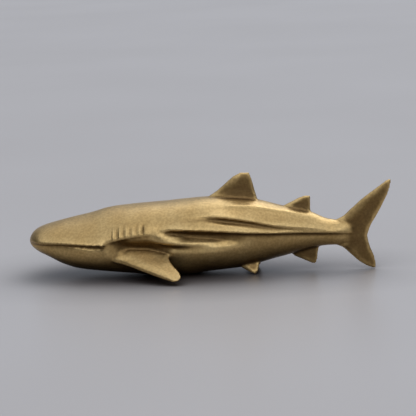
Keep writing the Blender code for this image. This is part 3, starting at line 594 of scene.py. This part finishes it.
def trunk_coordinates(points):
    """Share along the trunk and angle round it for each point, and the trunk's mean radius there."""
    share = np.clip((points[:, 0] - SNOUT_X) / BODY_LENGTH, 0, BACK[-1][0])
    waist, back, belly, half_width = outline(share)
    half_width = half_width + SLIVER
    upper = points[:, 2] > waist
    reach = np.where(upper, back - waist, waist - belly) + SLIVER
    squareness = np.where(upper, curve(ROOF_SQUARENESS, share), curve(BOTTOM_SQUARENESS, share))
    across = np.abs(points[:, 1]) / half_width
    height = (points[:, 2] - waist) / reach
    angle = np.arctan2(across ** (squareness / 2), np.sign(height) * np.abs(height) ** (squareness / 2))
    return share, angle, (half_width + reach) / 2


def fin_reach(points):
    """How far each point stands out of the carved trunk, with a rise along the root of the tail."""
    share, angle, radius = trunk_coordinates(points)
    across, height, _ = trunk_point(share, angle)
    beyond = np.hypot(np.abs(points[:, 1]) - across, points[:, 2] - height)
    beyond -= np.abs(relief(share, angle, radius))
    behind = np.maximum(points[:, 0] - FORK_X + BODY_LENGTH * (1 - TAIL_SHADE_SHARE), 0)
    return beyond + TAIL_SHADE_SLOPE * behind


def fine_relief(points):
    """Height of the fine carving at each point of the skin."""
    share, angle, radius = trunk_coordinates(points)
    along = share * BODY_LENGTH
    fade = np.sqrt(gill_window(angle))
    height = np.zeros(len(points))
    for number in range(GILL_COUNT):
        deepest = LAST_SLIT_DEPTH if number == GILL_COUNT - 1 else SLIT_DEPTH
        distance = along - GILL_START_SHARE * BODY_LENGTH - number * GILL_PITCH
        height -= fade * deepest * hump(distance, SLIT_WIDTH, SLIT_WIDTH)
        height += fade * RIM_HEIGHT * RIM_SHARES[number] * hump(distance - RIM_SHIFT, RIM_WIDTH, RIM_WIDTH)
    from_mouth = (angle - np.radians(curve(MOUTH_LINE, share))) * radius
    mouth = curve(MOUTH_GROWTH, share)
    height -= CREASE_LINE_DEPTH * mouth * hump(from_mouth, CREASE_LINE_WIDTH, CREASE_LINE_WIDTH)
    from_corner = np.hypot(along - CORNER_SHARE * BODY_LENGTH, from_mouth)
    height += CORNER_HEIGHT * hump(from_corner, CORNER_RADIUS, CORNER_RADIUS)
    return height


def unevenness(points):
    """Small swells and grain left by the casting and the brush."""
    swell = [noise.noise(Vector(point) / SWELL_SIZE) for point in points]
    grain = [noise.noise(Vector(point) / GRAIN_SIZE) for point in points]
    return SWELL_HEIGHT * np.array(swell) + GRAIN_HEIGHT * np.array(grain)


def refine(mesh):
    """Splits the edges in half where the carving is finest."""
    shape = bmesh.new()
    shape.from_mesh(mesh)
    share, angle, radius = trunk_coordinates(vertex_array(mesh))
    along = share * BODY_LENGTH
    first = GILL_START_SHARE * BODY_LENGTH
    last = first + (GILL_COUNT - 1) * GILL_PITCH
    gills = (along > first - GILL_PITCH) & (along < last + GILL_PITCH)
    gills &= np.abs(np.degrees(angle) - GILL_MIDDLE_DEGREES) < GILL_REACH_DEGREES
    from_mouth = (angle - np.radians(curve(MOUTH_LINE, share))) * radius
    mouth = (share < CORNER_SHARE + FINE_PAST_CORNER) & (np.abs(from_mouth) < FINE_BESIDE_MOUTH)
    wanted = gills | mouth
    shape.verts.ensure_lookup_table()
    edges = [edge for edge in shape.edges if wanted[edge.verts[0].index] and wanted[edge.verts[1].index]]
    bmesh.ops.subdivide_edges(shape, edges=edges, cuts=1, use_grid_fill=True)
    shape.to_mesh(mesh)
    shape.free()


def carve(mesh):
    """Moves each point of the skin along its normal by the fine carving and the unevenness."""
    points = vertex_array(mesh)
    lift = fine_relief(points) + unevenness(points)
    points += normals_array(mesh) * lift[:, None]
    points[:, 2] = np.maximum(points[:, 2], 0)
    mesh.vertices.foreach_set("co", points.ravel())
    mesh.update()


def mark_painted_shading(mesh):
    """Stores on each point its painted shading: 0 for a painted highlight on a crest, 1 for the darkest
    painted shade in hollows, under the belly and on the fins' upright sides.
    """
    points, edges = vertex_array(mesh), edge_array(mesh)
    counts = np.bincount(edges.ravel(), minlength=len(points))
    painted_shading = np.full(len(points), PLAIN_TONE)
    # Painted shade where the skin is hollow, and painted highlight where it is a crest
    for rounds, full_depth in HOLLOW_SCALES:
        mean = points.copy()
        for _ in range(rounds):
            mean = neighbours_mean(mean, edges, counts)
        painted_shading += np.sum((mean - points) * normals_array(mesh), axis=1) / full_depth
    # Painted shade where the skin faces down
    upward = normals_array(mesh)[:, 2]
    painted_shading += BELLY_SHADE * np.clip((BELLY_FROM - upward) / (BELLY_FROM - BELLY_TO), 0, 1)
    # Painted shade on the upright sides of the fins and along the root of the tail
    upright = np.clip((FIN_FROM - np.abs(upward)) / (FIN_FROM - FIN_TO), 0, 1)
    painted_shading += FIN_SIDE_SHADE * upright * np.clip((fin_reach(points) - FIN_FOOT) / FIN_RISE, 0, 1)
    attribute = mesh.attributes.new("painted_shading", "FLOAT", "POINT")
    attribute.data.foreach_set("value", np.clip(painted_shading, 0, 1).astype(np.float32))


def make_skin():
    """The figurine's skin: trunk and fins in one fine mesh, with the carving and its painted shading on it.
    """
    mesh = fused([trunk_mesh()] + middle_fins() + side_fins() + [tail_fin()])
    smooth(mesh, SMOOTHING_ROUNDS)
    refine(mesh)
    carve(mesh)
    mark_painted_shading(mesh)
    mesh.name = "shark_skin"
    mesh.shade_smooth()
    skin = bpy.data.objects.new("shark_skin", mesh)
    bpy.context.scene.collection.objects.link(skin)
    return skin


def link(tree, source, output, target, socket):
    """Joins two nodes, by the names or numbers of their sockets."""
    tree.links.new(source.outputs[output], target.inputs[socket])


def noise_node(tree, scale, detail):
    """Noise in the object's own coordinates, with scale in cycles per metre."""
    place = tree.nodes.new("ShaderNodeTexCoord")
    texture = tree.nodes.new("ShaderNodeTexNoise")
    texture.inputs["Scale"].default_value = scale
    texture.inputs["Detail"].default_value = detail
    link(tree, place, "Object", texture, "Vector")
    return texture


def ramp_node(tree, stops):
    """A colour ramp through (place, colour) stops."""
    ramp = tree.nodes.new("ShaderNodeValToRGB")
    elements = ramp.color_ramp.elements
    for element, (place, colour) in zip(elements, (stops[0], stops[-1]), strict=True):
        element.position, element.color = place, (*colour, 1)
    for place, colour in stops[1:-1]:
        element = elements.new(place)
        element.color = (*colour, 1)
    return ramp


def gold_paint():
    """Satin gold paint: warm metal, with darker and browner painted shade in the hollows, under the belly
    and on the fins' sides, a painted highlight on crests, and a fine brushed-on grain.
    """
    material = bpy.data.materials.new("gold_paint")
    material.use_nodes = True
    tree = material.node_tree
    shader = tree.nodes["Principled BSDF"]
    shader.inputs["Metallic"].default_value = GOLD_METALLIC
    # The painted shading picks a lit or a shaded copy of the gold: painted highlight on crests, painted
    # shade elsewhere
    painted_shading = tree.nodes.new("ShaderNodeAttribute")
    painted_shading.attribute_name = "painted_shading"
    tone = ramp_node(tree, GOLD_LIT_AND_SHADED)
    link(tree, painted_shading, "Fac", tone, "Fac")
    painted, output = tone, "Color"
    for stops, spread in ((PATCH_TONES, PATCH_NOISE), (SPECKLE_TONES, SPECKLE_NOISE)):
        spots = ramp_node(tree, stops)
        link(tree, noise_node(tree, *spread), "Fac", spots, "Fac")
        mixed = tree.nodes.new("ShaderNodeMix")
        mixed.data_type, mixed.blend_type = "RGBA", "MULTIPLY"
        mixed.inputs["Factor"].default_value = 1.0
        link(tree, painted, output, mixed, MIX_FIRST)
        link(tree, spots, "Color", mixed, MIX_SECOND)
        painted, output = mixed, MIX_RESULT
    link(tree, painted, output, shader, "Base Color")
    sheen = tree.nodes.new("ShaderNodeMapRange")
    sheen.inputs["To Min"].default_value, sheen.inputs["To Max"].default_value = GOLD_ROUGHNESS
    link(tree, noise_node(tree, *SHEEN_NOISE), "Fac", sheen, "Value")
    link(tree, sheen, "Result", shader, "Roughness")
    bump = tree.nodes.new("ShaderNodeBump")
    bump.inputs["Strength"].default_value = GRAIN_STRENGTH
    bump.inputs["Distance"].default_value = GRAIN_DEPTH
    link(tree, noise_node(tree, *GRAIN_NOISE), "Fac", bump, "Height")
    link(tree, bump, "Normal", shader, "Normal")
    return material


def floor_material():
    """Pale board with the faintest unevenness of tone, darker close under the figurine."""
    material = bpy.data.materials.new("pale_floor")
    material.use_nodes = True
    tree = material.node_tree
    shader = tree.nodes["Principled BSDF"]
    shader.inputs["Roughness"].default_value = FLOOR_ROUGHNESS
    tone = ramp_node(tree, FLOOR_TONES)
    link(tree, noise_node(tree, *FLOOR_NOISE), "Fac", tone, "Fac")
    nearness = tree.nodes.new("ShaderNodeAmbientOcclusion")
    nearness.inputs["Distance"].default_value = CONTACT_DISTANCE
    nearness.samples = CONTACT_SAMPLES
    openness = tree.nodes.new("ShaderNodeMath")
    openness.operation = "POWER"
    openness.inputs[1].default_value = CONTACT_POWER
    link(tree, nearness, "AO", openness, 0)
    mixed = tree.nodes.new("ShaderNodeMix")
    mixed.data_type = "RGBA"
    mixed.inputs[MIX_FIRST].default_value = (*CONTACT_COLOUR, 1)
    link(tree, openness, "Value", mixed, "Factor")
    link(tree, tone, "Color", mixed, MIX_SECOND)
    link(tree, mixed, MIX_RESULT, shader, "Base Color")
    return material


def make_floor():
    """A wide level floor under the figurine."""
    shape = bmesh.new()
    bmesh.ops.create_grid(shape, x_segments=FLOOR_CELLS, y_segments=FLOOR_CELLS, size=FLOOR_SIZE / 2)
    mesh = bpy.data.meshes.new("floor")
    shape.to_mesh(mesh)
    shape.free()
    mesh.materials.append(floor_material())
    floor = bpy.data.objects.new("floor", mesh)
    bpy.context.scene.collection.objects.link(floor)
    return floor


def make_lights():
    """Soft round lights overhead, in front, behind above and low behind, in an even, dim room."""
    world = bpy.data.worlds.new("room")
    world.use_nodes = True
    tree = world.node_tree
    background = tree.nodes["Background"]
    background.inputs["Color"].default_value = WORLD_COLOUR
    place = tree.nodes.new("ShaderNodeTexCoord")
    total = None
    for axis, end_degrees, full_degrees, strength in SOFT_LIGHTS:
        facing = tree.nodes.new("ShaderNodeVectorMath")
        facing.operation = "DOT_PRODUCT"
        facing.inputs[1].default_value = Vector(axis).normalized()
        link(tree, place, "Generated", facing, 0)
        glow = tree.nodes.new("ShaderNodeMapRange")
        glow.interpolation_type = "SMOOTHSTEP"
        glow.inputs["From Min"].default_value = math.cos(math.radians(end_degrees))
        glow.inputs["From Max"].default_value = math.cos(math.radians(full_degrees))
        glow.inputs["To Max"].default_value = strength
        link(tree, facing, "Value", glow, "Value")
        adding = tree.nodes.new("ShaderNodeMath")
        adding.inputs[0].default_value = ROOM_STRENGTH
        if total:
            link(tree, total, "Value", adding, 0)
        link(tree, glow, "Result", adding, 1)
        total = adding
    link(tree, total, "Value", background, "Strength")
    bpy.context.scene.world = world


def make_camera():
    """The photograph's camera: a long lens a little above the figurine, tilted by a small roll."""
    azimuth, elevation = math.radians(AZIMUTH_DEGREES), math.radians(ELEVATION_DEGREES)
    back = Vector((math.sin(azimuth) * math.cos(elevation), -math.cos(azimuth) * math.cos(elevation),
                   math.sin(elevation)))
    turn = back.to_track_quat("Z", "Y").to_matrix()
    roll = Matrix.Rotation(math.radians(-ROLL_DEGREES), 3, "Z")
    across, down = (pixel - FRAME_PIXELS / 2 for pixel in ORIGIN_PIXEL)
    pitch = Matrix.Rotation(math.atan(down / FOCAL_PIXELS), 3, "X")
    yaw = Matrix.Rotation(math.atan(across / FOCAL_PIXELS), 3, "Y")
    data = bpy.data.cameras.new("camera")
    data.sensor_width = SENSOR_WIDTH
    data.lens = SENSOR_WIDTH * FOCAL_PIXELS / FRAME_PIXELS
    camera = bpy.data.objects.new("camera", data)
    camera.matrix_world = Matrix.Translation(back * DISTANCE) @ (turn @ roll @ pitch @ yaw).to_4x4()
    bpy.context.scene.collection.objects.link(camera)
    bpy.context.scene.camera = camera


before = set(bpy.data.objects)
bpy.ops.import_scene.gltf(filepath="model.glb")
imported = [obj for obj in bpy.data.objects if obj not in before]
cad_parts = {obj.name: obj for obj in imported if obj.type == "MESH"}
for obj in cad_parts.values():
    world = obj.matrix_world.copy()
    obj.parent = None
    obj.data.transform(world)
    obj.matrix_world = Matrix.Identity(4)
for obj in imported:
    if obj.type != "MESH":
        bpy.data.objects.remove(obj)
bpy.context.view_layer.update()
make_camera()
skin = make_skin()
skin.data.materials.append(gold_paint())
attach(skin, "root")
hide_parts("shark")
make_floor()
make_lights()
bpy.context.scene.view_settings.view_transform = "Standard"
